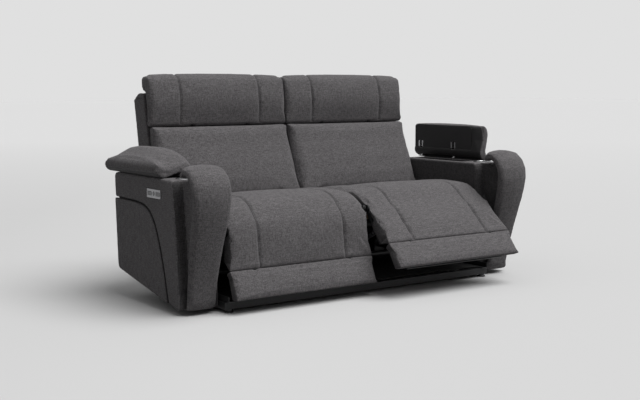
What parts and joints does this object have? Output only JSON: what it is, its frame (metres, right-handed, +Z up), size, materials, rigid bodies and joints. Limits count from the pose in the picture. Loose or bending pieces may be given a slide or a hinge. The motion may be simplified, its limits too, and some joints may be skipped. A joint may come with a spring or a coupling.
{
  "type": "sofa",
  "caption": "Power reclining sofa with footrests, tilting headrests and storage consoles under hinged padded lids in its arms.",
  "frame": {"origin": "on the floor, under the middle of the bounding box", "axes": "+Z up, the front faces -Y, +X along the width to the right as seen from the front"},
  "size_m": [1.993, 1.0896, 1.0205],
  "materials": {
    "fabric": "matte",
    "lid_lining": "matte",
    "bright_steel": "gloss",
    "zinc_steel": "satin",
    "painted_steel": "satin",
    "black_plastic": "satin",
    "wood": "matte"
  },
  "bodies": {
    "base": {"base_frame": "wood", "left_front_glide": "black_plastic", "right_front_glide": "black_plastic", "left_rear_glide": "black_plastic", "right_rear_glide": "black_plastic", "left_arm_frame": "fabric", "left_side_panel": "fabric", "left_front_band": "fabric", "left_cup_holder": "bright_steel", "left_control_plate": "black_plastic", "left_lid_hinge": "zinc_steel", "right_arm_frame": "fabric", "right_side_panel": "fabric", "right_front_band": "fabric", "right_cup_holder": "bright_steel", "right_control_plate": "black_plastic", "right_lid_hinge": "zinc_steel", "left_outer_plate": "painted_steel", "left_inner_plate": "painted_steel", "left_drive_unit": "painted_steel", "left_seat_frame": "wood", "left_seat_cushion": "fabric", "right_outer_plate": "painted_steel", "right_inner_plate": "painted_steel", "right_drive_unit": "painted_steel", "right_seat_frame": "wood", "right_seat_cushion": "fabric"},
    "left_crank": {"left_crank_shaft": "painted_steel"},
    "left_link": {"left_drive_link": "zinc_steel"},
    "left_calf": {"left_calf_board": "painted_steel", "left_calf_pad": "fabric"},
    "left_foot": {"left_foot_board": "painted_steel", "left_foot_pad": "fabric"},
    "left_drive": {"left_drive_block": "painted_steel"},
    "left_back": {"left_back_frame": "fabric", "left_back_cushion": "fabric"},
    "left_headrest": {"left_headrest_bracket": "painted_steel", "left_headrest_cushion": "fabric"},
    "left_lid": {"left_lid_board": "lid_lining", "left_lid_pad": "fabric"},
    "left_headrest_rocker": {"left_headrest_rocker": "black_plastic"},
    "left_recline_rocker": {"left_recline_rocker": "black_plastic"},
    "left_home_button": {"left_home_button": "bright_steel"},
    "right_crank": {"right_crank_shaft": "painted_steel"},
    "right_link": {"right_drive_link": "zinc_steel"},
    "right_calf": {"right_calf_board": "painted_steel", "right_calf_pad": "fabric"},
    "right_foot": {"right_foot_board": "painted_steel", "right_foot_pad": "fabric"},
    "right_drive": {"right_drive_block": "painted_steel"},
    "right_back": {"right_back_frame": "fabric", "right_back_cushion": "fabric"},
    "right_headrest": {"right_headrest_bracket": "painted_steel", "right_headrest_cushion": "fabric"},
    "right_lid": {"right_lid_board": "lid_lining", "right_lid_pad": "fabric"},
    "right_headrest_rocker": {"right_headrest_rocker": "black_plastic"},
    "right_recline_rocker": {"right_recline_rocker": "black_plastic"},
    "right_home_button": {"right_home_button": "bright_steel"}
  },
  "joints": [
    {"name": "left_footrest", "type": "hinge", "parent": "base", "child": "left_calf", "pos_m": [-0.401, -0.28464, 0.4], "axis": [-1, 0, 0], "range_deg": [0, 80]},
    {"name": "left_foot_lip", "type": "hinge", "parent": "left_calf", "child": "left_foot", "pos_m": [-0.401, -0.33464, 0.183], "axis": [-1, 0, 0], "range_deg": [-44, 0]},
    {"name": "left_crank", "type": "hinge", "parent": "base", "child": "left_crank", "pos_m": [-0.401, -0.05464, 0.285], "axis": [-1, 0, 0], "range_deg": [0, 80]},
    {"name": "left_drive_link", "type": "hinge", "parent": "left_crank", "child": "left_link", "pos_m": [-0.401, -0.01864, 0.165], "axis": [-1, 0, 0], "range_deg": [-80, 0]},
    {"name": "left_drive_block", "type": "slide", "parent": "base", "child": "left_drive", "axis": [0, -1, 0], "range_m": [0, 0.08999]},
    {"name": "left_back", "type": "hinge", "parent": "base", "child": "left_back", "pos_m": [-0.401, 0.25536, 0.33], "axis": [-1, 0, 0], "range_deg": [0, 35]},
    {"name": "left_headrest", "type": "hinge", "parent": "left_back", "child": "left_headrest", "pos_m": [-0.401, 0.39036, 0.793], "axis": [1, 0, 0], "range_deg": [0, 45]},
    {"name": "left_lid", "type": "hinge", "parent": "base", "child": "left_lid", "pos_m": [-0.9565, -0.38464, 0.611], "axis": [0, -1, 0], "range_deg": [0, 90]},
    {"name": "left_headrest_rocker", "type": "hinge", "parent": "base", "child": "left_headrest_rocker", "pos_m": [-0.9732, -0.08164, 0.499], "axis": [0, 0, 1], "range_deg": [-4, 4], "stiffness_Nm_per_rad": 0.3},
    {"name": "left_recline_rocker", "type": "hinge", "parent": "base", "child": "left_recline_rocker", "pos_m": [-0.9732, -0.00664, 0.499], "axis": [0, 0, 1], "range_deg": [-4, 4], "stiffness_Nm_per_rad": 0.3},
    {"name": "left_home_button", "type": "slide", "parent": "base", "child": "left_home_button", "axis": [1, 0, 0], "range_m": [0, 0.0015], "stiffness_N_per_m": 500},
    {"name": "right_footrest", "type": "hinge", "parent": "base", "child": "right_calf", "pos_m": [0.362, -0.28464, 0.4], "axis": [-1, 0, 0], "range_deg": [-35, 45]},
    {"name": "right_foot_lip", "type": "hinge", "parent": "right_calf", "child": "right_foot", "pos_m": [0.362, -0.45007, 0.25092], "axis": [-1, 0, 0], "range_deg": [-24.75, 19.25]},
    {"name": "right_crank", "type": "hinge", "parent": "base", "child": "right_crank", "pos_m": [0.362, -0.05464, 0.285], "axis": [-1, 0, 0], "range_deg": [-35, 45]},
    {"name": "right_drive_link", "type": "hinge", "parent": "right_crank", "child": "right_link", "pos_m": [0.362, -0.09398, 0.16605], "axis": [-1, 0, 0], "range_deg": [-45, 35]},
    {"name": "right_drive_block", "type": "slide", "parent": "base", "child": "right_drive", "axis": [0, -1, 0], "range_m": [-0.03937, 0.05062]},
    {"name": "right_back", "type": "hinge", "parent": "base", "child": "right_back", "pos_m": [0.362, 0.25536, 0.33], "axis": [-1, 0, 0], "range_deg": [0, 35]},
    {"name": "right_headrest", "type": "hinge", "parent": "right_back", "child": "right_headrest", "pos_m": [0.362, 0.39036, 0.793], "axis": [1, 0, 0], "range_deg": [0, 45]},
    {"name": "right_lid", "type": "hinge", "parent": "base", "child": "right_lid", "pos_m": [0.9175, -0.38464, 0.611], "axis": [0, 1, 0], "range_deg": [-90, 0]},
    {"name": "right_headrest_rocker", "type": "hinge", "parent": "base", "child": "right_headrest_rocker", "pos_m": [0.9342, -0.08164, 0.499], "axis": [0, 0, 1], "range_deg": [-4, 4], "stiffness_Nm_per_rad": 0.3},
    {"name": "right_recline_rocker", "type": "hinge", "parent": "base", "child": "right_recline_rocker", "pos_m": [0.9342, -0.00664, 0.499], "axis": [0, 0, 1], "range_deg": [-4, 4], "stiffness_Nm_per_rad": 0.3},
    {"name": "right_home_button", "type": "slide", "parent": "base", "child": "right_home_button", "axis": [-1, 0, 0], "range_m": [0, 0.0015], "stiffness_N_per_m": 500}
  ],
  "couplings": [
    {"joint": "left_foot_lip", "follows": "left_footrest", "ratio": -0.55},
    {"joint": "left_crank", "follows": "left_footrest", "ratio": 1},
    {"joint": "left_drive_link", "follows": "left_footrest", "ratio": -1},
    {"joint": "left_drive_block", "follows": "left_footrest", "m_per_rad": 0.064451},
    {"joint": "right_foot_lip", "follows": "right_footrest", "ratio": -0.55},
    {"joint": "right_crank", "follows": "right_footrest", "ratio": 1},
    {"joint": "right_drive_link", "follows": "right_footrest", "ratio": -1},
    {"joint": "right_drive_block", "follows": "right_footrest", "m_per_rad": 0.064451}
  ]
}
